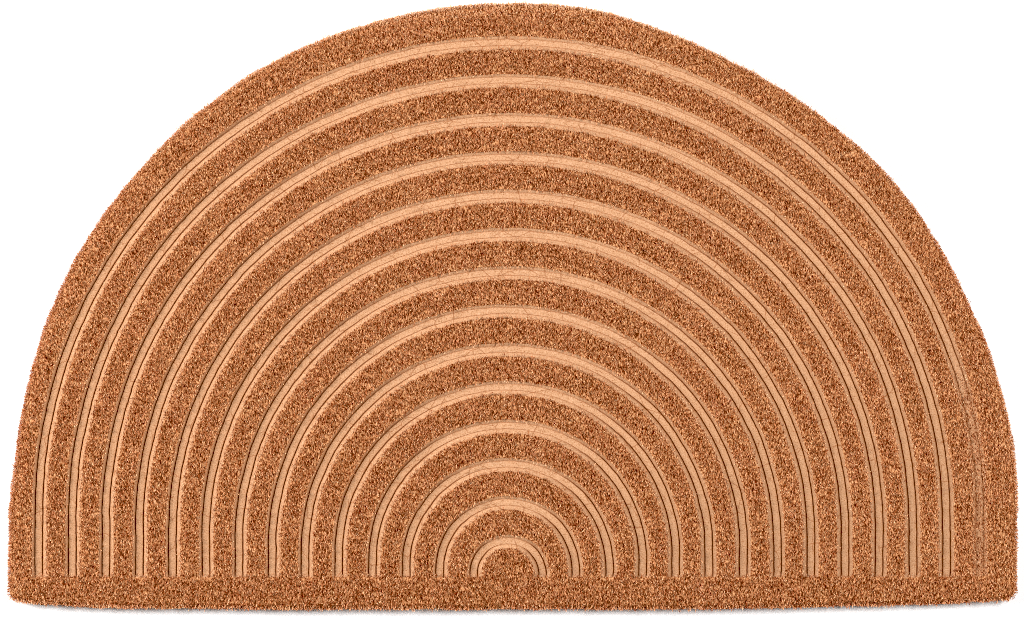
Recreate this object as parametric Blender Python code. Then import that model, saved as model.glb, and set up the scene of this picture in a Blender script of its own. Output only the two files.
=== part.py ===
# Half-round coir doormat, one solid with concentric arched grooves pressed into its pile.
# +X runs along the straight edge, +Y points to the top of the arch, +Z up from the floor.
# The origin is on the floor, under the middle of the mat's box. All sizes are in metres.

import math
from collections import namedtuple

import bmesh
import bpy
from mathutils import Vector

MM = 0.001

# The trimmed outline, seen from above
MAT_WIDTH = 0.749
MAT_DEPTH = 0.4485
MAT_HEIGHT = 0.015
CORNER_RADIUS = 0.007
CORNER_STEPS = 4

# Grooves, counted from the innermost
GROOVE_COUNT = 14
GROOVE_PITCH = 0.0249
FIRST_LEG = 0.0252
LEG_GROWTH = 0.00355
GROOVE_FLOOR = 0.0052
GROOVE_SIDE = 0.0023
GROOVE_DEPTH = 0.0045
GROOVE_END = 0.023
END_SLOPE = 0.0018
PATTERN_OFFSET = -0.0018

# Steps along the half circle of each arch
ARCH_STEPS = 54

COIR_COLOUR = (0.503, 0.209, 0.089, 1.0)
COIR_ROUGHNESS = 0.95

# How far the hand-trimmed edge strays from the true shape, in millimetres.
# On the arch, at is degrees from its left foot and out is away from the centre.
Stray = namedtuple("Stray", "at out")
ARCH_STRAY = (
    Stray(0, -0.8),
    Stray(10, -2.8),
    Stray(28, -0.1),
    Stray(40, -0.1),
    Stray(55, 2.4),
    Stray(80, 1.9),
    Stray(100, 1.9),
    Stray(107, -1.6),
    Stray(117, -3.6),
    Stray(128, -2.6),
    Stray(140, -0.4),
    Stray(154, -1.6),
    Stray(174, 2.4),
    Stray(180, 1.1),
)
# On the straight edge, at is millimetres from the middle and out is towards the front.
STRAIGHT_STRAY = (
    Stray(-372, -6.2),
    Stray(-340, -3.0),
    Stray(-300, -1.3),
    Stray(-230, -0.6),
    Stray(-160, 0.0),
    Stray(130, 0.0),
    Stray(200, -1.0),
    Stray(260, -2.5),
    Stray(315, -3.8),
    Stray(345, -5.6),
    Stray(372, -6.7),
)
# The middle grooves sit a little to the left: at is the groove, out is millimetres left.
GROOVE_STRAY = (
    Stray(1, 1.0),
    Stray(4, 1.3),
    Stray(6, 1.7),
    Stray(8, 1.0),
    Stray(11, 0.1),
    Stray(14, 0.0),
)

# The pile's edge, from the top face out and down to the floor
RimRow = namedtuple("RimRow", "out height")
RIM_ROWS = (
    RimRow(0.0030, 0.0141),
    RimRow(0.0050, 0.0115),
    RimRow(0.0055, 0.0080),
    RimRow(0.0045, 0.0000),
)
RIM_REACH = max(row.out for row in RIM_ROWS)


def stray(rows, at):
    """The stray at one place, eased from row to row."""
    if at <= rows[0].at:
        return rows[0].out * MM
    for low, high in zip(rows, rows[1:]):
        if at <= high.at:
            share = (at - low.at) / (high.at - low.at)
            eased = share * share * (3 - 2 * share)
            return (low.out + (high.out - low.out) * eased) * MM
    return rows[-1].out * MM


def straight_edge(x):
    """How high up the plan the top face's straight edge runs at x."""
    return RIM_REACH - stray(STRAIGHT_STRAY, x / MM)


def arch_line(centre_x, half_width, leg, edge_stray):
    """One line of the plan: up the left leg, over the half circle, down the right leg."""
    left = centre_x - half_width
    right = centre_x + half_width
    points = []
    if edge_stray:
        left -= stray(ARCH_STRAY, 0)
        right += stray(ARCH_STRAY, 180)
    points.append((left, straight_edge(left)))
    points.append((left, GROOVE_END))
    points.append((left, GROOVE_END + END_SLOPE))
    for step in range(ARCH_STEPS + 1):
        degrees = 180 * step / ARCH_STEPS
        radius = half_width
        if edge_stray:
            radius += stray(ARCH_STRAY, degrees)
        turn = math.radians(degrees)
        points.append((centre_x - radius * math.cos(turn), leg + radius * math.sin(turn)))
    points.append((right, GROOVE_END + END_SLOPE))
    points.append((right, GROOVE_END))
    points.append((right, straight_edge(right)))
    return points


def level_line(points, height):
    return [Vector((x, y, height)) for x, y in points]


def floor_line(points):
    """A line along a groove's floor, which rises to the top face past the groove's ends."""
    line = level_line(points, MAT_HEIGHT)
    for point in line[2:-2]:
        point.z -= GROOVE_DEPTH
    return line


def top_face_lines():
    """All lines of the top face, from the rim in to the middle."""
    leg = MAT_DEPTH - MAT_WIDTH / 2
    rim = arch_line(0, MAT_WIDTH / 2 - RIM_REACH, leg, True)
    lines = [level_line(rim, MAT_HEIGHT)]
    for groove in range(GROOVE_COUNT, 0, -1):
        centre_x = PATTERN_OFFSET - stray(GROOVE_STRAY, groove)
        middle = GROOVE_PITCH * groove
        leg = FIRST_LEG + LEG_GROWTH * (groove - 1)
        floor = GROOVE_FLOOR / 2
        mouth = floor + GROOVE_SIDE
        for offset in (mouth, floor, -floor, -mouth):
            points = arch_line(centre_x, middle + offset, leg, False)
            if abs(offset) == floor:
                lines.append(floor_line(points))
            else:
                lines.append(level_line(points, MAT_HEIGHT))
    return lines


def corner_arc(corner, side):
    """The rounded corner of the top face, from the leg to the straight edge."""
    radius = CORNER_RADIUS - RIM_REACH
    centre = corner + Vector((-side * radius, radius, 0))
    arc = []
    for step in range(CORNER_STEPS + 1):
        turn = math.pi / 2 * step / CORNER_STEPS
        arc.append(centre + radius * Vector((side * math.cos(turn), -math.sin(turn), 0)))
    return arc


def offset_loop(loop, out, height):
    """The closed loop moved outwards in plan, with its corners kept, at a new height."""
    moved = []
    for here in range(len(loop)):
        before = (loop[here] - loop[here - 1]).xy.normalized()
        after = (loop[(here + 1) % len(loop)] - loop[here]).xy.normalized()
        normal_before = Vector((before.y, -before.x))
        normal_after = Vector((after.y, -after.x))
        mitre = (normal_before + normal_after) / (1 + normal_before.dot(normal_after))
        place = loop[here].xy + mitre * out
        moved.append(Vector((place.x, place.y, height)))
    return moved


def add_points(mesh, points):
    return [mesh.verts.new(point) for point in points]


def add_top_face(mesh, lines):
    """Fills the top face and returns its edge, counterclockwise from above."""
    rows = [add_points(mesh, line) for line in lines]
    rim = rows[0]
    left_corner = add_points(mesh, corner_arc(rim[0].co, -1))
    right_corner = add_points(mesh, corner_arc(rim[-1].co, 1))
    for outer, inner in zip(rows, rows[1:]):
        for step in range(len(outer) - 1):
            face = [outer[step], inner[step], inner[step + 1], outer[step + 1]]
            if outer[step] == rim[0]:
                face[:1] = left_corner
            if outer[step + 1] == rim[-1]:
                face[-1:] = reversed(right_corner)
            mesh.faces.new(face)
    mesh.verts.remove(rim[0])
    mesh.verts.remove(rim[-1])
    add_middle(mesh, rows[-1])
    front = [row[0] for row in rows[1:]] + [row[-1] for row in reversed(rows[1:])]
    arch = rim[1:-1]
    return left_corner + front + list(reversed(right_corner)) + list(reversed(arch))


def add_middle(mesh, line):
    """Fills the tongue inside the innermost groove, straight across from leg to leg."""
    last = len(line) - 1
    for step in range(last // 2):
        face = [line[step], line[last - step], line[last - step - 1], line[step + 1]]
        mesh.faces.new(list(dict.fromkeys(face)))


def add_rim_and_base(mesh, top_edge):
    """The rounded edge of the pile, the side and the flat base."""
    loop = [point.co.copy() for point in top_edge]
    above = top_edge
    for row in RIM_ROWS:
        below = add_points(mesh, offset_loop(loop, row.out, row.height))
        for here in range(len(above)):
            after = (here + 1) % len(above)
            mesh.faces.new((above[here], below[here], below[after], above[after]))
        above = below
    mesh.faces.new(list(reversed(above)))


def centre_on_origin(mesh):
    """Moves the solid so that the origin is under the middle of its box."""
    for axis in (0, 1):
        low = min(point.co[axis] for point in mesh.verts)
        high = max(point.co[axis] for point in mesh.verts)
        for point in mesh.verts:
            point.co[axis] -= (low + high) / 2


def coir_material():
    material = bpy.data.materials.new("coir_pile")
    material.use_nodes = True
    shader = material.node_tree.nodes["Principled BSDF"]
    shader.inputs["Base Color"].default_value = COIR_COLOUR
    shader.inputs["Roughness"].default_value = COIR_ROUGHNESS
    shader.inputs["Metallic"].default_value = 0.0
    return material


def add_mat():
    mesh = bmesh.new()
    add_rim_and_base(mesh, add_top_face(mesh, top_face_lines()))
    centre_on_origin(mesh)
    bmesh.ops.triangulate(mesh, faces=mesh.faces)
    data = bpy.data.meshes.new("coir_mat")
    mesh.to_mesh(data)
    mesh.free()
    data.shade_smooth()
    data.set_sharp_from_angle(angle=math.radians(35))
    data.materials.append(coir_material())
    mat = bpy.data.objects.new("coir_mat", data)
    bpy.context.scene.collection.objects.link(mat)
    return mat


def main():
    for thing in list(bpy.data.objects):
        bpy.data.objects.remove(thing)
    add_mat()


main()
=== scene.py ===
import math

import bpy
import numpy as np
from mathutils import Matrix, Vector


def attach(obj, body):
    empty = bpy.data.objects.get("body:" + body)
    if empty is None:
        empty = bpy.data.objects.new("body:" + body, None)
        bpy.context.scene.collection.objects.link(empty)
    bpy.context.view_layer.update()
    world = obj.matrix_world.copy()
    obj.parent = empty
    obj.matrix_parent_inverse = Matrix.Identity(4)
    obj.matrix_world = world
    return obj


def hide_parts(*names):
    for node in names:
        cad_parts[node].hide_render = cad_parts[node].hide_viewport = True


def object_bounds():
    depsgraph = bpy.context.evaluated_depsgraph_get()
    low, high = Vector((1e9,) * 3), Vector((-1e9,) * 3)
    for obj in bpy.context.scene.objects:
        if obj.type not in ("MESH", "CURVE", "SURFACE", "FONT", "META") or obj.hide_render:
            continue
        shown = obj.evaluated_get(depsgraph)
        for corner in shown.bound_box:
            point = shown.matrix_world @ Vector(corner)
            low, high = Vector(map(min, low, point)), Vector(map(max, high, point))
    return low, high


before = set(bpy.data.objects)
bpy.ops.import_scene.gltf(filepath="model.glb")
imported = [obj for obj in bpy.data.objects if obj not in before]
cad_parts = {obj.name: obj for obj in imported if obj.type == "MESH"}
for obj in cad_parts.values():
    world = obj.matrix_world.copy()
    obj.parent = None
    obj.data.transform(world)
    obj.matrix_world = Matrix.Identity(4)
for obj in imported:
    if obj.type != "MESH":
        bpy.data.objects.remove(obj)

# Half-round coir doormat: a body with arched grooves pressed into it, and real bristles on it.
# Plan and heights are worked out in millimetres on the frame's own axes, and turned into
# metres when a mesh is made. Every random draw has its own seed, so each run is the same.

mm = 0.001
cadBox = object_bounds()
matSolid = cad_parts["coir_mat"]
frontY = cadBox[0][1] / mm
print("frame loaded, box in mm", [[round(v / mm, 1) for v in corner] for corner in cadBox])

plan = {
    "grooves": 14,
    "pitch": 24.9,            # from groove to groove, across the straight legs
    "firstLeg": 25.2,         # the innermost arch springs this far above the front edge
    "legGrowth": 3.55,        # each arch further out springs this much higher
    "grooveEnd": 23.0,        # the grooves' legs stop this far above the front edge
    "endRise": 2.4,           # length over which a groove's end comes up to the pile
    "centreX": -2.7,          # the pattern sits a little left of the middle
    "driftGroove": (1, 4, 6, 8, 11, 14),
    "driftLeft": (1.0, 1.3, 1.7, 1.0, 0.1, 0.0),
    "outsetTurn": (0, 20, 45, 70, 90, 110, 135, 160, 180),
    "outset": (0.3, 0.8, 1.2, 1.0, 0.9, 1.0, 1.1, 0.85, 1.0),
    "trimTurn": (-20, 0, 4, 8, 12, 16, 28, 34, 42, 48, 53, 60, 76, 88, 100, 160, 166, 171, 178),
    "trim": (0.5, 1.2, 2.7, 2.1, 0.9, 1.7, 1.6, 0.8, 0.8, 0.5, 1.5, 0.3, 0.6, 0.4, 0, 0, 0.8, 1.1, 0),
    "outlineX": -0.9,         # centre of the outline's own arch
    "outlineLeg": 74.0,       # and how far above the front edge it springs
    "rimInset": 5.5,          # from the outline in to the flat top
    "widestHeight": 8.0,      # where the frame's solid is widest
    "cornerRadius": 1.5,
    "landHeight": 12.4,       # the body between the grooves, where the bristles stand
}


# Shared helpers


def lumps(x, y, cell, seed):
    # smooth random values from -1 to 1, with lumps about one cell wide
    size = 256
    lattice = np.random.default_rng(seed).uniform(-1, 1, (size, size))
    u = np.asarray(x, float) / cell + 1000
    v = np.asarray(y, float) / cell + 1000
    i = np.floor(u).astype(int)
    j = np.floor(v).astype(int)
    fu = (u - i) ** 2 * (3 - 2 * (u - i))
    fv = (v - j) ** 2 * (3 - 2 * (v - j))
    i, j = i % size, j % size
    i1, j1 = (i + 1) % size, (j + 1) % size
    low = lattice[i, j] * (1 - fu) + lattice[i1, j] * fu
    high = lattice[i, j1] * (1 - fu) + lattice[i1, j1] * fu
    return low * (1 - fv) + high * fv


def ease(low, high, value):
    share = np.clip((value - low) / (high - low), 0, 1)
    return share * share * (3 - 2 * share)


def turned(vectors):
    # unit vectors
    return vectors / np.maximum(np.linalg.norm(vectors, axis=-1, keepdims=True), 1e-9)


def newMesh(name, places, faces):
    mesh = bpy.data.meshes.new(name)
    mesh.from_pydata(np.asarray(places, float) * mm, [], faces)
    piece = bpy.data.objects.new(name, mesh)
    bpy.context.scene.collection.objects.link(piece)
    return piece


def addVector(mesh, name, values):
    # one vector of three numbers on each point
    layer = mesh.attributes.new(name, "FLOAT_VECTOR", "POINT")
    layer.data.foreach_set("vector", np.asarray(values, np.float32).ravel())


def addMap(mesh, name, corners):
    layer = mesh.uv_layers.new(name=name)
    layer.data.foreach_set("uv", np.asarray(corners, np.float32).ravel())


# The outline, read from the frame's solid


def solidRing():
    places = np.array([point.co[:] for point in matSolid.data.vertices]) / mm
    ring = places[np.abs(places[:, 2] - plan["widestHeight"]) < 0.05][:, :2]
    return np.unique(ring.round(3), axis=0)


ring = solidRing()
springY = frontY + plan["outlineLeg"]
cornerZone = 9.0


def archEdge():
    points = ring[ring[:, 1] > springY - 12]
    turn = np.arctan2(points[:, 1] - springY, -(points[:, 0] - plan["outlineX"]))
    radius = np.hypot(points[:, 0] - plan["outlineX"], points[:, 1] - springY)
    radius = radius - np.interp(np.degrees(turn), plan["trimTurn"], plan["trim"])
    order = np.argsort(turn)
    return turn[order], radius[order]


def sideEdge(side):
    points = ring[(ring[:, 0] * side > 366) & (ring[:, 1] < springY + 20)]
    order = np.argsort(points[:, 1])
    trim = 0
    if side < 0:
        below = points[order, 1] - springY
        trim = np.interp(below, (-38, -30, -12, 0), (0, 0.5, 0.6, 1.2))
    return points[order, 1], points[order, 0] + trim


def frontEdge():
    points = ring[ring[:, 1] < frontY + cornerZone]
    order = np.argsort(points[:, 0])
    return points[order, 0], points[order, 1]


archTurns, archRadii = archEdge()
leftY, leftX = sideEdge(-1)
rightY, rightX = sideEdge(1)
frontX, frontHeights = frontEdge()


def insideBy(x, y):
    # how far a point lies inside the outline, and the outward direction of the nearest edge
    turn = np.arctan2(y - springY, -(x - plan["outlineX"]))
    radius = np.hypot(x - plan["outlineX"], y - springY)
    arch = np.interp(turn, archTurns, archRadii) - radius
    left = x - np.interp(y, leftY, leftX)
    right = np.interp(y, rightY, rightX) - x
    leg = np.minimum(left, right)
    side = np.where(y > springY, arch, leg)
    front = y - np.interp(x, frontX, frontHeights)
    outX = np.where(y > springY, (x - plan["outlineX"]) / radius, np.where(left < right, -1, 1))
    outY = np.where(y > springY, (y - springY) / radius, 0)
    nearFront = front < side
    outX = np.where(nearFront, 0, outX)
    outY = np.where(nearFront, -1, outY)
    return np.minimum(side, front), outX, outY


print("outline read from the frame,", len(ring), "points")


# The grooves' lines

waver = {
    "long": 0.28,             # slow bends of a groove, in mm
    "short": 0.12,            # quick ones
    "edge": 0.18,             # each edge of the floor on its own
    "fray": 0.14,             # and finer
    "jog": 0.42,              # sideways steps where the pressing was set again
    "jogGap": 95.0,           # about this far apart
}


class Groove:
    def __init__(self, number):
        drift = np.interp(number, plan["driftGroove"], plan["driftLeft"])
        self.number = number
        self.radius = plan["pitch"] * number
        self.x = plan["centreX"] - drift
        self.spring = frontY + plan["firstLeg"] + plan["legGrowth"] * (number - 1)
        self.end = frontY + plan["grooveEnd"]
        self.leg = self.spring - self.end
        self.length = 2 * self.leg + math.pi * self.radius
        draw = np.random.default_rng(100 + number)
        count = max(1, round(self.length / waver["jogGap"]))
        self.jogs = draw.uniform(0.03, 0.97, count) * self.length
        self.jogSizes = draw.uniform(-1, 1, count) * waver["jog"]

    def turnAt(self, along):
        # degrees round the arch, from 0 on the left leg to 180 on the right one
        return np.clip(np.degrees((along - self.leg) / self.radius), 0, 180)

    def bend(self, along):
        # how far the groove strays outwards at a place along it
        row = self.number * 40.0
        stray = np.interp(self.turnAt(along), plan["outsetTurn"], plan["outset"])
        stray = stray + waver["long"] * lumps(along, along * 0 + row, 42, 11)
        stray = stray + waver["short"] * lumps(along, along * 0 + row, 11, 12)
        for place, size in zip(self.jogs, self.jogSizes):
            after = np.exp(-np.maximum(along - place, 0) / 30)
            stray = stray + size * ease(place - 0.9, place + 0.9, along) * after
        return stray

    def edgeBend(self, along, side):
        row = self.number * 40.0 + 13 * side
        stray = waver["edge"] * lumps(along, along * 0 + row, 7, 13)
        return side * (stray + waver["fray"] * lumps(along, along * 0 + row, 2.6, 14))

    def place(self, along, across):
        # plan position at a distance along the groove and outwards from its middle
        turn = (along - self.leg) / self.radius
        reach = self.radius + across
        onLeft = along < self.leg
        onRight = along > self.length - self.leg
        x = self.x - reach * np.cos(turn)
        y = self.spring + reach * np.sin(turn)
        x = np.where(onLeft, self.x - reach, np.where(onRight, self.x + reach, x))
        y = np.where(onLeft, self.end + along, y)
        y = np.where(onRight, self.end + self.length - along, y)
        return x, y

    def depth(self, along):
        # 1 along the groove, 0 past its ends; the outermost right leg is partly filled
        share = ease(0, plan["endRise"], along) * ease(0, plan["endRise"], self.length - along)
        if self.number == plan["grooves"]:
            share = share * (1 - 0.45 * ease(self.length - 190, self.length - 120, along))
        return share


grooves = [Groove(number) for number in range(1, plan["grooves"] + 1)]


def topShare(turn):
    # 1 over the top of the arch and 0 at its sides and legs
    return ease(40, 72, turn) * (1 - ease(108, 140, turn))


def wideShare(side, turn):
    # 1 where a groove's side slopes gently, and near 0 on the steep outer side of the left legs
    outer = 0.85 * (1 - ease(45, 80, turn))
    inner = 0.2 * ease(110, 140, turn)
    return 1 - np.where(side > 0, outer, inner)


def blended(three, wide, top):
    # between the values for a gentle side, a steep one, and the top of the arch
    return (three[0] * wide + three[1] * (1 - wide)) * (1 - top) + three[2] * top


def nearestGroove(x, y):
    # for each point: the gap to the nearest groove's floor, the way to it, its depth there, and
    # the shares by which a profile is blended
    gap = np.full(x.shape, 1e9)
    toX, toY = np.zeros(x.shape), np.zeros(x.shape)
    depth, wide, top = np.zeros(x.shape), np.zeros(x.shape), np.zeros(x.shape)
    for groove in grooves:
        dx = x - groove.x
        dy = y - groove.spring
        onArch = dy > 0
        radius = np.where(onArch, np.hypot(dx, dy), np.abs(dx))
        turn = np.arctan2(np.maximum(dy, 0), -dx)
        along = groove.leg + groove.radius * turn
        along = np.where(onArch, along, np.where(dx < 0, y - groove.end, groove.length - y + groove.end))
        off = radius - groove.radius - groove.bend(along)
        aside = np.maximum(np.abs(off) - floorHalf, 0)
        below = np.maximum(groove.end + 0.8 - y, 0)
        away = np.hypot(aside, below)
        nearer = away < gap
        outX = np.where(onArch, dx / np.maximum(radius, 1e-6), np.sign(dx))
        outY = np.where(onArch, dy / np.maximum(radius, 1e-6), 0)
        way = -np.sign(off)
        gap = np.where(nearer, away, gap)
        toX = np.where(nearer, way * outX, toX)
        toY = np.where(nearer, way * outY, toY)
        depth = np.where(nearer, groove.depth(np.maximum(along, 0)), depth)
        turn = groove.turnAt(along)
        wide = np.where(nearer, wideShare(-way, turn), wide)
        top = np.where(nearer, topShare(turn), top)
    return gap, toX, toY, depth, wide, top


# The body

floorHalf = 2.25

# One side of a groove, from the pile down to the middle of the floor: for a gentle side, for a
# steep one, and for the top of the arch, where the groove is shallower
pressProfile = {
    "across": (
        (8.8, 7.4, 6.0, 4.9, 3.65, 3.1, 2.65, 2.25, 0.0),
        (8.0, 6.4, 5.2, 4.5, 3.65, 3.1, 2.65, 2.25, 0.0),
        (8.0, 6.2, 5.2, 4.6, 2.9, 2.5, 2.2, 2.0, 0.0),
    ),
    "height": (
        (12.4, 12.9, 13.0, 12.3, 11.0, 9.6, 9.6, 10.75, 10.9),
        (12.4, 12.6, 12.7, 12.3, 11.2, 9.6, 9.6, 10.75, 10.9),
        (12.4, 12.6, 12.4, 11.7, 11.35, 10.8, 10.75, 11.15, 11.2),
    ),
    "pressed": (
        (0.0, 0.0, 0.5, 1.0, 1.0, 1.0, 1.0, 1.0, 1.0),
        (0.0, 0.0, 0.25, 0.85, 1.0, 1.0, 1.0, 1.0, 1.0),
        (0.0, 0.0, 0.4, 1.0, 1.0, 1.0, 1.0, 1.0, 1.0),
    ),
    # how dark each station is painted: the crack beside the floor in its own dark colour, with painted shade in
    # it
    "creaseAndShade": (
        (0.0, 0.0, 0.0, 0.0, 0.1, 1.0, 1.0, 0.1, 0.0),
        (0.0, 0.0, 0.0, 0.0, 0.2, 1.0, 1.0, 0.1, 0.0),
        (0.0, 0.0, 0.0, 0.0, 0.0, 0.45, 0.45, 0.0, 0.0),
    ),
    # floor lightness round the arch: the floors are painted darker on the legs, most on the right leg, as painted
    # shade
    "floorShadeTurn": (0, 45, 70, 110, 135, 160, 180),
    "tone": (0.93, 0.99, 0.99, 0.98, 0.97, 0.90, 0.84),
}
body = {
    "name": "pressed_body",
    "step": 2.1,              # between stations along a groove
    "floorRough": 0.18,       # height of the floor's unevenness
    "rimOut": (2.4, 3.9, 4.5, 4.7, 5.2, 5.3, 4.9),
    "rimHeight": (11.6, 9.6, 7.0, 2.6, 2.2, 0.4, 0.0),
    "rimRagged": 0.45,
    "frontStep": 2.6,
}


partNames = ("across", "height", "pressed", "creaseAndShade")


def grooveRows(groove):
    # the lines of one groove from its outer side to its inner side, with what each point carries
    count = max(24, round(groove.length / body["step"]))
    along = np.linspace(0, groove.length, count)
    along = np.concatenate([[-1.2], along, [groove.length + 1.2]])
    depth = groove.depth(along)
    bend = groove.bend(along)
    turn = groove.turnAt(along)
    top = topShare(turn)
    # painted shade: the floors darker on the legs, most on the right one
    tone = np.interp(turn, pressProfile["floorShadeTurn"], pressProfile["tone"])
    stations = len(pressProfile["across"][0])
    sides = [1] * stations + [-1] * (stations - 1)
    picks = list(range(stations)) + list(range(stations - 2, -1, -1))
    rows = []
    for side, pick in zip(sides, picks):
        wide = wideShare(side, turn)
        part = {}
        for name in partNames:
            part[name] = blended([three[pick] for three in pressProfile[name]], wide, top)
        across = side * part["across"]
        flat = part["pressed"]
        shift = bend * flat + groove.edgeBend(along, side) * (0.3 < flat) * (across != 0)
        x, y = groove.place(along, across + shift * ease(0, 3, along) * ease(0, 3, groove.length - along))
        rough = body["floorRough"] * flat * lumps(x, y, 3.2, 21)
        rise = part["height"] - plan["landHeight"]
        z = plan["landHeight"] + (rise + rough) * depth
        x = np.concatenate([[x[0]], x, [x[-1]]])
        y = np.concatenate([[0], y, [0]])
        y[0] = np.interp(x[0], frontX, frontHeights) + plan["rimInset"]
        y[-1] = np.interp(x[-1], frontX, frontHeights) + plan["rimInset"]
        z = np.concatenate([[plan["landHeight"]], z, [plan["landHeight"]]])
        carried = np.zeros((len(x), 3))
        carried[1:-1, 0] = flat * depth
        # the cracks' dark paint: their own colour and painted shade
        carried[1:-1, 1] = part["creaseAndShade"] * depth
        carried[1:-1, 2] = tone
        lay = np.zeros((len(x), 2))
        lay[:, 0] = np.concatenate([[-20], along, [groove.length + 20]])
        lay[1:-1, 1] = across + groove.number * 40.0
        lay[[0, -1], 1] = lay[[1, -2], 1]
        rows.append((np.stack([x, y, z], 1), carried, lay))
    return rows


def rimSide(side):
    # one leg of the flat top's edge, from its rounded corner at the front up to the arch
    inset = plan["rimInset"]
    radius = plan["cornerRadius"]
    heights, edges = (leftY, leftX) if side < 0 else (rightY, rightX)
    cornerX = np.interp(frontY + 16, heights, edges) - side * inset
    cornerY = np.interp(cornerX - side * radius, frontX, frontHeights) + inset
    bend = np.linspace(0, math.pi / 2, 5)
    bendX = cornerX - side * radius * (1 - np.sin(bend))
    bendY = cornerY + radius * (1 - np.cos(bend))
    up = np.arange(cornerY + radius + body["frontStep"], springY - 1, body["frontStep"])
    legX = np.interp(up, heights, edges) - side * inset
    return np.column_stack([np.append(bendX, legX), np.append(bendY, up)])


def rimLine():
    # the outer edge of the flat top, from the left end of the front edge over the arch
    turns = np.linspace(0, math.pi, round(math.pi * archRadii.mean() / body["step"]))
    reach = np.interp(turns, archTurns, archRadii) - plan["rimInset"]
    arch = np.column_stack([plan["outlineX"] - reach * np.cos(turns), springY + reach * np.sin(turns)])
    points = np.concatenate([rimSide(-1), arch, rimSide(1)[::-1]])
    walked = np.arange(len(points)) * body["step"]
    lay = np.column_stack([walked, np.full(len(points), 620)])
    places = np.column_stack([points, np.full(len(points), plan["landHeight"])])
    return places, np.zeros((len(points), 3)), lay


class BodyMaker:
    def __init__(self):
        self.places, self.carried, self.lays = [], [], []
        self.count = 0
        self.faces = []
        self.strips = []

    def add(self, places, carried, lay):
        self.places.append(places)
        self.carried.append(carried)
        self.lays.append(lay)
        first = self.count
        self.count += len(places)
        return np.arange(first, self.count)

    def stitch(self, outer, inner):
        # faces between two lines, which may have different numbers of points
        if len(outer) == len(inner):
            for i in range(len(outer) - 1):
                self.faces.append((outer[i], inner[i], inner[i + 1], outer[i + 1]))
            return
        i, j = 0, 0
        lastI, lastJ = len(outer) - 1, len(inner) - 1
        while i < lastI or j < lastJ:
            if j == lastJ or (i < lastI and (i + 1) / lastI <= (j + 1) / lastJ):
                self.faces.append((outer[i], inner[j], outer[i + 1]))
                i += 1
            else:
                self.faces.append((outer[i], inner[j], inner[j + 1]))
                j += 1


def outwards(loop):
    # outward mitre of a closed counterclockwise loop in plan
    before = turned(loop - np.roll(loop, 1, axis=0))
    after = turned(np.roll(loop, -1, axis=0) - loop)
    normalBefore = np.column_stack([before[:, 1], -before[:, 0]])
    normalAfter = np.column_stack([after[:, 1], -after[:, 0]])
    dot = (normalBefore * normalAfter).sum(1, keepdims=True)
    return (normalBefore + normalAfter) / np.maximum(1 + dot, 0.6)


def makeBody():
    maker = BodyMaker()
    line = maker.add(*rimLine())
    lines = [line]
    for groove in reversed(grooves):
        for row in grooveRows(groove):
            lines.append(maker.add(*row))
    for outer, inner in zip(lines, lines[1:]):
        maker.stitch(outer, inner)
    tongue = lines[-1]
    last = len(tongue) - 1
    for i in range(last // 2):
        corners = (tongue[i], tongue[last - i], tongue[last - i - 1], tongue[i + 1])
        maker.faces.append(tuple(dict.fromkeys(corners)))
    topFaces = len(maker.faces)
    ends = [row[0] for row in lines[1:]] + [row[-1] for row in reversed(lines[1:])]
    edge = np.concatenate([ends, lines[0][::-1]])
    loop = np.concatenate(maker.places)[edge][:, :2]
    way = outwards(loop)
    ragged = body["rimRagged"] * lumps(loop[:, 0], loop[:, 1], 2.4, 31)
    walked = np.concatenate([[0], np.cumsum(np.linalg.norm(np.diff(loop, axis=0), axis=1))])
    above = edge
    rings = []
    fall = plan["landHeight"]
    for number, (out, height) in enumerate(zip(body["rimOut"], body["rimHeight"])):
        share = min(1, number / 2) if height > 2.4 else 0.3
        places = np.column_stack([loop + way * (out + ragged * share)[:, None], np.full(len(loop), height)])
        carried = np.zeros((len(loop), 3))
        lay = np.column_stack([walked, np.full(len(loop), 700 + fall - height)])
        below = maker.add(places, carried, lay)
        rings.append(below)
        for i in range(len(above)):
            j = (i + 1) % len(above)
            maker.faces.append((above[i], below[i], below[j], above[j]))
        above = below
    maker.faces.append(tuple(above[::-1]))
    places = np.concatenate(maker.places)
    piece = newMesh(body["name"], places, [tuple(int(k) for k in face) for face in maker.faces])
    mesh = piece.data
    addVector(mesh, "pressing", np.concatenate(maker.carried))
    lays = np.concatenate(maker.lays)
    addVector(mesh, "lay", np.column_stack([lays * mm, np.zeros(len(lays))]))
    corners = np.empty(len(mesh.loops), np.int32)
    mesh.loops.foreach_get("vertex_index", corners)
    addMap(mesh, "OFBake", bodyMap(places, corners, len(edge), topFaces, mesh, walked))
    mesh.shade_smooth()
    mesh.set_sharp_from_angle(angle=math.radians(60))
    under = mesh.polygons[-1]
    under.material_index = 1
    return piece


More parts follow.
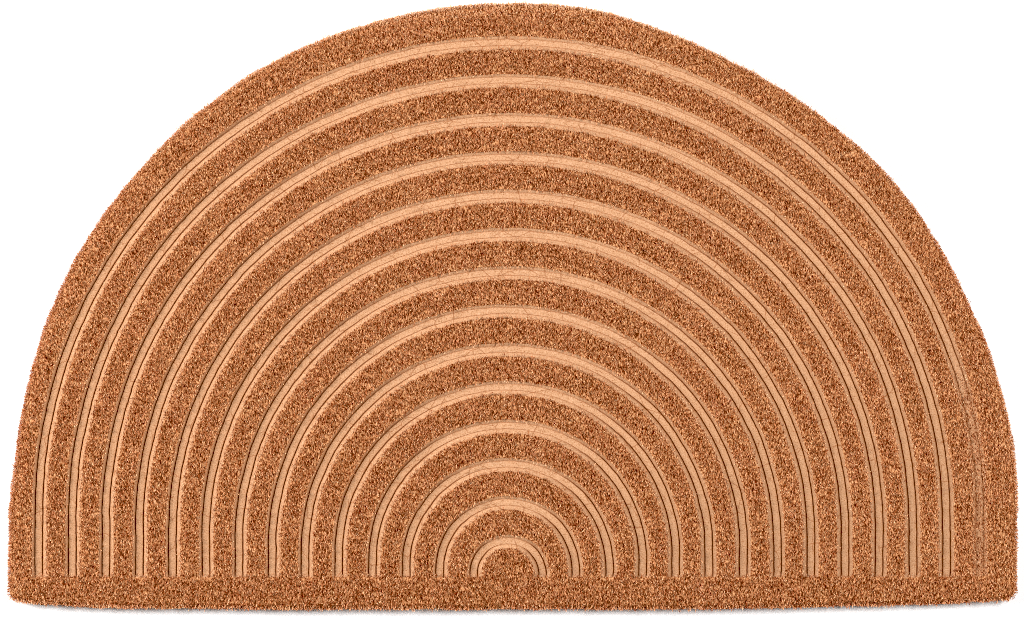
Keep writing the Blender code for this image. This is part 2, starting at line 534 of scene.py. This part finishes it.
def bodyMap(places, corners, edgeCount, topFaces, mesh, walked):
    # top seen from above, the rim in three strips above it, the underside in the corner
    wide = cadBox[1][0] / mm - cadBox[0][0] / mm
    scale = 0.98 / wide
    spots = np.empty((len(corners), 2))
    spots[:, 0] = 0.01 + (places[corners, 0] - cadBox[0][0] / mm) * scale
    spots[:, 1] = 0.01 + (places[corners, 1] - frontY) * scale
    around = walked[-1] + np.linalg.norm(np.diff(walked[-2:]))
    strips = 3
    height = 0.024
    base = 0.63
    loopStart = mesh.polygons[topFaces].loop_start
    rings = len(body["rimOut"])
    quads = edgeCount * rings
    order = np.arange(quads)
    ringIndex, stepIndex = order // edgeCount, order % edgeCount
    starts = walked / around * strips
    nexts = np.append(walked[1:], around) / around * strips
    strip = np.minimum(np.floor(starts[stepIndex] + 1e-9), strips - 1)
    u0 = 0.01 + (starts[stepIndex] - strip) * 0.97
    u1 = 0.01 + (nexts[stepIndex] - strip) * 0.97
    v0 = base + strip * (height + 0.006) + height * (1 - ringIndex / rings)
    v1 = base + strip * (height + 0.006) + height * (1 - (ringIndex + 1) / rings)
    quad = np.stack([u0, v0, u0, v1, u1, v1, u1, v0], 1).reshape(-1, 2)
    spots[loopStart:loopStart + len(quad)] = quad
    under = mesh.polygons[-1]
    flat = slice(under.loop_start, under.loop_start + under.loop_total)
    small = 0.26 / (cadBox[1][1] / mm - frontY)
    spots[flat, 0] = 0.99 - (places[corners[flat], 0] - cadBox[0][0] / mm) * small
    spots[flat, 1] = 0.73 + (places[corners[flat], 1] - frontY) * small
    return spots


matBody = makeBody()
print("body made,", sum(len(face.vertices) - 2 for face in matBody.data.polygons), "triangles")


# The bristles

bristles = {
    "spacing": 3.05,          # between tufts
    "perTuft": 9,
    "spread": (1.0, 1.25),    # how far a tuft's bristles stand from its middle, across and along
    "length": (2.6, 4.2),
    "lean": (18, 64),         # degrees from upright
    "wayUp": 0.25,            # spread of the leaning direction about the mat's depth, in radians
    "wayEach": 0.2,           # and from bristle to bristle within a tuft
    "rootWidth": 0.25,
    "tipWidth": (0.30, 0.54),
    # for a gentle side of a groove, a steep one and one at the top of the arch:
    "clear": (2.3, 1.7, 2.7), # width of the bare strip beside the groove's floor
    "full": (6.2, 3.6, 3.5),  # from here on the bristles stand at their full number
    "slope": (7.2, 5.2, 4.6), # and from here on at their full length
    "leanIn": (0.6, 0.6, 0.3),
    "combed": 0.5,            # the leaning direction drifts this much from place to place
    "topMost": 15.4,
    "pieces": 4,
    "toneSpread": 0.34,       # from bristle to bristle
    "tuftTone": 0.05,         # from tuft to tuft
}
rim = {
    "spacing": 0.62,          # along the edge
    "rows": 6,
    "low": 2.4,
    "high": 11.5,
    "length": (3.0, 5.6),
    "lean": (14, 52),
    "proud": 0.3,             # how far the tips may stand past the outline
    "lightness": 0.56,
    # the frayed edge painted lighter round the arch: partly paler fibres, partly a painted highlight
    "frayAndHighlightTurn": (-60, 0, 28, 40, 52, 64, 76, 82, 95, 100, 112, 124, 136, 148, 160, 172, 190),
    "frayAndHighlight": (0.05, 0.2, 0.2, 0.45, 0.6, 0.75, 1.0, 1.0, 1.0, 0.9, 0.7, 0.45, 0.3, 0.2, 0.3, 0.35, 0.05),
    "frayAndHighlightReach": (2, 2, 2, 2.5, 4, 4, 5, 9, 9, 5.5, 3.5, 3.5, 3, 2, 2.5, 3.5, 2),
    "frayAndHighlightTone": 0.75,
}


def frayAndHighlightAt(x, y, inside):
    # extra lightness of the frayed edge, widest at the top of the mat: partly its paler fibres, partly a painted
    # highlight where the top edge catches the light
    turn = np.degrees(np.arctan2(y - springY, -(x - plan["outlineX"])))
    turn = np.where(turn < -120, 190, turn)
    share = np.interp(turn, rim["frayAndHighlightTurn"], rim["frayAndHighlight"])
    reach = np.interp(turn, rim["frayAndHighlightTurn"], rim["frayAndHighlightReach"]) * (1 + 0.3 * lumps(x, y, 11, 44))
    return rim["frayAndHighlightTone"] * share * (1 - ease(reach * 0.5, reach * 1.3, inside))


def bodyHeight(gap, inside, gentle, crown):
    # height of the body under a bristle, from its groove's profile and from the rim's
    levels = []
    for across, heights in zip(pressProfile["across"], pressProfile["height"]):
        levels.append(np.interp(gap + floorHalf, across[::-1], heights[::-1]))
    top = blended(levels, gentle, crown)
    rimIn = plan["rimInset"] - np.array(body["rimOut"][:4])
    fall = np.interp(inside, rimIn[::-1], body["rimHeight"][3::-1])
    return np.where(inside > plan["rimInset"], top, fall)


def tufts():
    step = bristles["spacing"]
    xs = np.arange(cadBox[0][0] / mm, cadBox[1][0] / mm, step)
    ys = np.arange(cadBox[0][1] / mm, cadBox[1][1] / mm, step * 0.9)
    gridX, gridY = np.meshgrid(xs, ys)
    gridX[1::2] += step / 2
    draw = np.random.default_rng(41)
    x = gridX.ravel() + draw.normal(0, 0.2 * step, gridX.size)
    y = gridY.ravel() + draw.normal(0, 0.3 * step, gridX.size)
    keep = insideBy(x, y)[0] > 1.4
    return x[keep], y[keep]


def grown(x, y, root, lean, way, length, wide, draw):
    # the four corners of each bristle: a flat foot in line with its lean, a flat tip across it
    count = len(x)
    flat = np.sin(lean)
    along = np.column_stack([flat * np.cos(way), flat * np.sin(way), np.cos(lean)])
    across = np.column_stack([-np.sin(way), np.cos(way), np.zeros(count)])
    upper = np.cross(along, across)
    roll = draw.uniform(-0.9, 0.9, count)[:, None]
    tipWay = (across * np.cos(roll) + upper * np.sin(roll)) * wide[:, None] / 2
    footWay = (upper * np.cos(roll) - across * np.sin(roll)) * bristles["rootWidth"] / 2
    foot = np.column_stack([x, y, root])
    tip = foot + along * length[:, None]
    return np.stack([foot - footWay, foot + footWay, tip - tipWay, tip + tipWay], 1)


# A bristle's four faces, and the same faces laid out as a strip of triangles
bristleFaces = np.array([(0, 2, 1), (2, 3, 1), (1, 3, 0), (3, 2, 0)])
bristleNet = np.array([
    (0, 0), (0.5, 1), (1, 0),
    (0.5, 1), (1.5, 1), (1, 0),
    (1, 0), (1.5, 1), (2, 0),
    (1.5, 1), (2.5, 1), (2, 0),
]) / (2.5, 1)


def bristlePiece(name, corners, tone, warm):
    count = len(corners)
    faces = (bristleFaces[None] + np.arange(count)[:, None, None] * 4).reshape(-1, 3)
    piece = newMesh(name, corners.reshape(-1, 3), faces.tolist())
    told = np.empty((count, 4, 3))
    told[:, :, 0] = tone[:, None]
    told[:, :, 1] = warm[:, None]
    told[:, :, 2] = (0, 0, 1, 1)
    addVector(piece.data, "fibre", told.reshape(-1, 3))
    across = math.ceil(math.sqrt(count / 2.2))
    cellSize = np.array([1 / across, 1 / math.ceil(count / across)])
    cell = np.arange(count)
    place = np.stack([cell % across, cell // across], 1) * cellSize
    net = (bristleNet * 0.84 + 0.08) * cellSize
    addMap(piece.data, "OFBake", (place[:, None] + net[None]).reshape(-1, 2))
    return piece


def makePile():
    tuftX, tuftY = tufts()
    draw = np.random.default_rng(42)
    many = bristles["perTuft"]
    count = len(tuftX) * many
    tuftWay = draw.normal(0, bristles["wayUp"], len(tuftX)) + bristles["combed"] * lumps(tuftX, tuftY, 17, 45)
    tuftTone = draw.normal(0, bristles["tuftTone"], len(tuftX))
    tuftLean = draw.uniform(0, 1, len(tuftX))
    away = draw.uniform(0, 1, count) ** 0.5
    around = draw.uniform(-math.pi, math.pi, count)
    x = np.repeat(tuftX, many) + away * np.cos(around) * bristles["spread"][0]
    y = np.repeat(tuftY, many) + away * np.sin(around) * bristles["spread"][1]
    gap, toX, toY, depth, gentle, crown = nearestGroove(x, y)
    inside, outX, outY = insideBy(x, y)
    clear = blended(bristles["clear"], gentle, crown)
    full = blended(bristles["full"], gentle, crown)
    pressed = (1 - ease(clear, full, gap)) * depth
    keep = (draw.uniform(0, 1, count) > pressed) & (inside > 1.2)
    x, y, gap, toX, toY, depth = x[keep], y[keep], gap[keep], toX[keep], toY[keep], depth[keep]
    inside, outX, outY = inside[keep], outX[keep], outY[keep]
    gentle, crown = gentle[keep], crown[keep]
    tuft = np.repeat(np.arange(len(tuftX)), many)[keep]
    count = len(x)
    side = np.where(draw.uniform(0, 1, count) < 0.5, -1, 1) * math.pi / 2
    way = side + tuftWay[tuft] + draw.normal(0, bristles["wayEach"], count)
    share = tuftLean[tuft] * 0.15 + draw.uniform(0, 1, count) * 0.85
    lean = np.radians(bristles["lean"][0] + share * (bristles["lean"][1] - bristles["lean"][0]))
    near = (1 - ease(1.8, blended(bristles["slope"], gentle, crown), gap)) * depth
    edge = 1 - ease(2.0, 8.0, inside)
    leanIn = blended(bristles["leanIn"], gentle, crown) * near
    pullX = np.cos(way) * np.sin(lean) + toX * leanIn + outX * edge * 0.4
    pullY = np.sin(way) * np.sin(lean) + toY * leanIn + outY * edge * 0.4
    way = np.arctan2(pullY, pullX)
    lean = np.arcsin(np.clip(np.hypot(pullX, pullY), 0.05, 0.93))
    length = draw.uniform(*bristles["length"], count) * (1 - 0.4 * near)
    root = bodyHeight(gap, inside, gentle, crown) - 0.3
    length = np.minimum(length, (bristles["topMost"] - root) / np.cos(lean))
    wide = draw.uniform(*bristles["tipWidth"], count)
    tone = 0.5 + tuftTone[tuft] + draw.normal(0, bristles["toneSpread"], count)
    # paler near the grooves; the frayed edge paler too, partly as a painted highlight
    tone = tone + 0.16 * near + frayAndHighlightAt(x, y, inside)
    warm = 0.5 + 0.3 * lumps(x, y, 14, 43) + draw.normal(0, 0.12, count)
    corners = grown(x, y, root, lean, way, length, wide, draw)
    order = np.argsort(y, kind="stable")
    made = []
    for number, pick in enumerate(np.array_split(order, bristles["pieces"])):
        made.append(bristlePiece(f"pile_{number + 1}", corners[pick], tone[pick], warm[pick]))
    return made


def edgeLine():
    # the edge of the flat top all the way round, with the way out from it
    top = rimLine()[0][::-1, :2]
    front = np.arange(top[-1, 0] + body["frontStep"], top[0, 0], body["frontStep"])
    frontLine = np.column_stack([front, np.interp(front, frontX, frontHeights) + plan["rimInset"]])
    loop = np.concatenate([top, frontLine])
    return loop, outwards(loop)


def makeRim():
    # bristles that stand out of the mat's side, all round
    loop, way = edgeLine()
    loop = np.concatenate([loop, loop[:1]])
    way = np.concatenate([way, way[:1]])
    walked = np.concatenate([[0], np.cumsum(np.linalg.norm(np.diff(loop, axis=0), axis=1))])
    draw = np.random.default_rng(51)
    along = np.repeat(np.arange(0, walked[-1], rim["spacing"]), rim["rows"])
    count = len(along)
    along = (along + draw.uniform(-1, 1, count) * rim["spacing"]) % walked[-1]
    height = draw.uniform(rim["low"], rim["high"], count)
    outX = np.interp(along, walked, way[:, 0])
    outY = np.interp(along, walked, way[:, 1])
    out = np.interp(height, body["rimHeight"][3::-1], body["rimOut"][3::-1]) - 0.4
    x = np.interp(along, walked, loop[:, 0]) + outX * out
    y = np.interp(along, walked, loop[:, 1]) + outY * out
    lean = np.radians(draw.uniform(*rim["lean"], count))
    turn = np.arctan2(outY, outX) + draw.normal(0, 0.5, count)
    room = plan["rimInset"] + rim["proud"] + 0.8 * lumps(x, y, 9, 52) - out
    length = np.minimum(draw.uniform(*rim["length"], count), room / np.maximum(np.sin(lean), 0.2))
    wide = draw.uniform(*bristles["tipWidth"], count)
    # the side bristles get the frayed edge's paleness and painted highlight as well
    tone = rim["lightness"] + draw.normal(0, bristles["toneSpread"], count) + frayAndHighlightAt(x, y, x * 0)
    warm = 0.5 + 0.3 * lumps(x, y, 14, 43) + draw.normal(0, 0.12, count)
    return bristlePiece("pile_side", grown(x, y, height, lean, turn, length, wide, draw), tone, warm)


pile = makePile()
pile.append(makeRim())
print("bristles made,", sum(len(piece.data.polygons) for piece in pile) // 4)


# Finishes


fibreLooks = {
    "stops": (
        (0.0, (0.21, 0.026, 0.006)),
        (0.25, (0.45, 0.140, 0.042)),
        (0.5, (0.72, 0.310, 0.139)),
        (0.75, (0.92, 0.470, 0.240)),
        (1.0, (1.00, 0.630, 0.370)),
    ),
    "rootShade": (0.36, 0.22, 0.14),
    "grain": 0.22,
    "hueSpread": 0.010,
    "roughness": 0.7,
    "shine": 0.08,
}


def node(tree, kind, inputs=(), **settings):
    # one node with its fixed settings; an input is a value or another node's socket
    made = tree.nodes.new(kind)
    for name, value in settings.items():
        setattr(made, name, value)
    for name, value in dict(inputs).items():
        if isinstance(value, bpy.types.NodeSocket):
            tree.links.new(value, made.inputs[name])
        else:
            made.inputs[name].default_value = value
    return made


def ramp(tree, fac, stops):
    made = node(tree, "ShaderNodeValToRGB", {"Fac": fac})
    elements = made.color_ramp.elements
    while len(elements) < len(stops):
        elements.new(0.5)
    for element, (place, colour) in zip(elements, stops):
        element.position = place
        element.color = (*colour, 1)
    return made.outputs["Color"]


def calc(tree, kind, first, second=0.0, third=0.0):
    made = node(tree, "ShaderNodeMath", operation=kind)
    for socket, value in zip(made.inputs, (first, second, third)):
        if isinstance(value, bpy.types.NodeSocket):
            tree.links.new(value, socket)
        else:
            socket.default_value = value
    return made.outputs[0]


def mixed(tree, share, first, second, blend="MIX"):
    made = node(tree, "ShaderNodeMix", data_type="RGBA", blend_type=blend)
    sockets = (made.inputs["Factor"], made.inputs[6], made.inputs[7])
    for socket, value in zip(sockets, (share, first, second)):
        if isinstance(value, bpy.types.NodeSocket):
            tree.links.new(value, socket)
        elif isinstance(value, tuple):
            socket.default_value = (*value, 1)
        else:
            socket.default_value = value
    return made.outputs[2]


def between(tree, value, low, high, toLow=0.0, toHigh=1.0):
    inputs = {"Value": value, "From Min": low, "From Max": high, "To Min": toLow, "To Max": toHigh}
    return node(tree, "ShaderNodeMapRange", inputs).outputs["Result"]


def told(tree, name):
    # the three numbers that a mesh carries on its points
    read = node(tree, "ShaderNodeAttribute", attribute_name=name)
    return node(tree, "ShaderNodeSeparateXYZ", {"Vector": read.outputs["Vector"]}).outputs


def grain(tree, size, detail=2.0, stretch=(1, 1, 1), seed=0.0):
    # cloudy noise whose lumps are about size mm across
    place = node(tree, "ShaderNodeTexCoord").outputs["Object"]
    laid = node(tree, "ShaderNodeMapping", {"Vector": place, "Scale": stretch, "Location": (seed, 0, 0)})
    inputs = {"Vector": laid.outputs["Vector"], "Scale": 1 / (size * mm), "Detail": detail}
    return node(tree, "ShaderNodeTexNoise", inputs).outputs["Fac"]


def newFinish(name):
    finish = bpy.data.materials.new(name)
    finish.use_nodes = True
    return finish, finish.node_tree, finish.node_tree.nodes["Principled BSDF"]


def fibreFinish():
    finish, tree, shader = newFinish("coir_fibre")
    tone, warm, height = told(tree, "fibre")[:3]
    speckle = between(tree, grain(tree, 1.1), 0.3, 0.7, -fibreLooks["grain"] / 2, fibreLooks["grain"] / 2)
    colour = ramp(tree, calc(tree, "ADD", tone, speckle), fibreLooks["stops"])
    spread = fibreLooks["hueSpread"] / 2
    hue = between(tree, warm, 0, 1, 0.5 - spread, 0.5 + spread)
    colour = node(tree, "ShaderNodeHueSaturation", {"Hue": hue, "Color": colour}).outputs["Color"]
    root = mixed(tree, 1.0, colour, fibreLooks["rootShade"], "MULTIPLY")
    colour = mixed(tree, between(tree, height, 0, 0.9), root, colour)
    tree.links.new(colour, shader.inputs["Base Color"])
    shader.inputs["Roughness"].default_value = fibreLooks["roughness"]
    shader.inputs["Specular IOR Level"].default_value = fibreLooks["shine"]
    return finish


bodyLooks = {
    # the body under the bristles: its own colour, with its darkest pits painted shade deep between the bristles
    "landAndPitShade": (
        (0.34, (0.10, 0.018, 0.006)),
        (0.46, (0.28, 0.090, 0.032)),
        (0.56, (0.58, 0.270, 0.115)),
        (0.70, (0.78, 0.430, 0.215)),
    ),
    "press": (
        (0.25, (0.33, 0.146, 0.064)),
        (0.42, (0.54, 0.291, 0.151)),
        (0.75, (0.69, 0.411, 0.250)),
    ),
    # the cracks' dark colour, partly their own and partly painted shade; darker() also uses it for the floor's
    # own marks
    "creaseAndShade": (0.25, 0.070, 0.016),
    "creaseAndShadeShare": 0.8,
    "line": 0.16,             # depth of the fine lines along a groove
    "split": 0.55,            # darkness of the cross splits
    "speck": 0.6,             # and of the small specks
    "roughness": 0.72,
    "shine": 0.08,
}


def laidNoise(tree, lay, stretch, size, detail=2.0):
    # cloudy noise laid along the grooves
    laid = node(tree, "ShaderNodeMapping", {"Vector": lay, "Scale": stretch})
    inputs = {"Vector": laid.outputs["Vector"], "Scale": 1 / (size * mm), "Detail": detail}
    return node(tree, "ShaderNodeTexNoise", inputs).outputs["Fac"]


def darker(tree, colour, share):
    # towards the cracks' dark colour, for the floor's own dark lines, splits and specks
    return mixed(tree, share, colour, bodyLooks["creaseAndShade"])


def splitLines(tree, lay):
    # thin ragged splits across a groove's floor, in some places only
    shaken = node(tree, "ShaderNodeMix", {"Factor": 0.002, "A": lay}, data_type="VECTOR")
    noise = node(tree, "ShaderNodeTexNoise", {"Vector": lay, "Scale": 350.0, "Detail": 2.0})
    tree.links.new(noise.outputs["Color"], shaken.inputs[5])
    laid = node(tree, "ShaderNodeMapping", {"Vector": shaken.outputs[1], "Scale": (1 / 0.016, 1 / 0.011, 1.0)})
    inputs = {"Vector": laid.outputs["Vector"], "Scale": 1.0}
    cells = node(tree, "ShaderNodeTexVoronoi", inputs, feature="DISTANCE_TO_EDGE", voronoi_dimensions="2D")
    thin = between(tree, cells.outputs["Distance"], 0.012, 0.035, 1.0, 0.0)
    some = between(tree, laidNoise(tree, lay, (1, 1, 1), 21.0, 1.0), 0.5, 0.56)
    return calc(tree, "MULTIPLY", thin, some)


def bodyFinish():
    finish, tree, shader = newFinish("pressed_coir")
    pressing, creaseAndShade, tone = told(tree, "pressing")[:3]
    strands = grain(tree, 0.85, 3.0, (1.0, 0.5, 1.0))
    fine = grain(tree, 0.9, 2.0, (1, 1, 1), 0.37)
    # body under the bristles; its dark pits are painted shade
    landAndPitShade = ramp(tree, strands, bodyLooks["landAndPitShade"])
    press = ramp(tree, fine, bodyLooks["press"])
    # the floors painted darker on the legs: painted shade
    press = mixed(tree, 1.0, press, node(tree, "ShaderNodeCombineColor", {"Red": tone, "Green": tone, "Blue": tone}).outputs[0], "MULTIPLY")
    lay = node(tree, "ShaderNodeAttribute", attribute_name="lay").outputs["Vector"]
    lines = laidNoise(tree, lay, (0.06, 1.0, 1.0), 0.8)
    press = darker(tree, press, between(tree, lines, 0.3, 0.7, bodyLooks["line"], 0))
    splits = calc(tree, "MULTIPLY", splitLines(tree, lay), bodyLooks["split"])
    press = darker(tree, press, splits)
    press = darker(tree, press, between(tree, grain(tree, 1.3, 1.0, (1, 1, 1), 0.91), 0.66, 0.74, 0, bodyLooks["speck"]))
    ragged = calc(tree, "ADD", pressing, between(tree, strands, 0.3, 0.7, -0.35, 0.35))
    colour = mixed(tree, between(tree, ragged, 0.35, 0.7), landAndPitShade, press)
    # the cracks beside the floors painted dark: their own colour with painted shade
    colour = mixed(tree, calc(tree, "MULTIPLY", creaseAndShade, bodyLooks["creaseAndShadeShare"]), colour, bodyLooks["creaseAndShade"])
    tree.links.new(colour, shader.inputs["Base Color"])
    inputs = {"Strength": 0.6, "Distance": 0.0004, "Height": strands}
    bump = node(tree, "ShaderNodeBump", inputs)
    tree.links.new(bump.outputs["Normal"], shader.inputs["Normal"])
    shader.inputs["Roughness"].default_value = bodyLooks["roughness"]
    shader.inputs["Specular IOR Level"].default_value = bodyLooks["shine"]
    return finish


backingLooks = {
    "tints": ((0.3, (0.19, 0.11, 0.06)), (0.7, (0.25, 0.15, 0.085))),
    "roughness": 0.55,
}


def backingFinish():
    finish, tree, shader = newFinish("backing")
    tree.links.new(ramp(tree, grain(tree, 2.5), backingLooks["tints"]), shader.inputs["Base Color"])
    shader.inputs["Roughness"].default_value = backingLooks["roughness"]
    return finish


matBody.data.materials.append(bodyFinish())
matBody.data.materials.append(backingFinish())
fibre = fibreFinish()
for piece in pile:
    piece.data.materials.append(fibre)
print("finishes made")


# Stage, lights and camera

studio = {
    "frameWide": 759.7,       # what the picture shows across, at the height of the pile
    "centreX": -0.4,
    "centreY": -1.9,
    "distance": 2.4,
    "floor": (0.92, 0.92, 0.92),
    "sky": 0.06,
    "left": {"place": (-2.17, 0.46, 1.29), "size": 1.0, "power": 100},
    "right": {"place": (1.48, 0.37, 2.09), "size": 1.0, "power": 73},
    "black": 0.016,           # the camera's black point
    "sharpness": 0.9,         # width of the camera's pixel filter
}


def makeFloor():
    mesh = bpy.data.meshes.new("floor")
    wide = 3.0
    mesh.from_pydata([(-wide, -wide, 0), (wide, -wide, 0), (wide, wide, 0), (-wide, wide, 0)], [], [(0, 1, 2, 3)])
    floor = bpy.data.objects.new("floor", mesh)
    bpy.context.scene.collection.objects.link(floor)
    finish, tree, shader = newFinish("studio_floor")
    shader.inputs["Base Color"].default_value = (*studio["floor"], 1)
    shader.inputs["Roughness"].default_value = 0.9
    mesh.materials.append(finish)


def makeLight(name, settings):
    light = bpy.data.lights.new(name, "AREA")
    light.energy = settings["power"]
    light.size = settings["size"]
    lamp = bpy.data.objects.new(name, light)
    place = np.array(settings["place"])
    lamp.location = place
    away = turned(place)
    lamp.rotation_euler = (math.acos(away[2]), 0, math.atan2(away[1], away[0]) + math.pi / 2)
    bpy.context.scene.collection.objects.link(lamp)


def makeCamera():
    camera = bpy.data.cameras.new("camera")
    camera.sensor_width = 36
    height = 0.012
    camera.lens = 36 * (studio["distance"] - height) / (studio["frameWide"] * mm)
    camera.clip_end = 20
    eye = bpy.data.objects.new("camera", camera)
    eye.location = (studio["centreX"] * mm, studio["centreY"] * mm, studio["distance"])
    bpy.context.scene.collection.objects.link(eye)
    bpy.context.scene.camera = eye


makeFloor()
makeLight("left_light", studio["left"])
makeLight("right_light", studio["right"])
makeCamera()
world = bpy.data.worlds.new("sky")
world.use_nodes = True
world.node_tree.nodes["Background"].inputs["Strength"].default_value = studio["sky"]
world.node_tree.nodes["Background"].inputs["Color"].default_value = (1, 1, 1, 1)
bpy.context.scene.world = world
view = bpy.context.scene.view_settings
view.view_transform = "Standard"
view.use_curve_mapping = True
view.curve_mapping.black_level = (studio["black"],) * 3
view.curve_mapping.update()
bpy.context.scene.cycles.use_denoising = False
bpy.context.scene.cycles.filter_width = studio["sharpness"]

# What each piece is in the frame

for piece in (matBody, *pile):
    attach(piece, "root")
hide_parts("coir_mat")
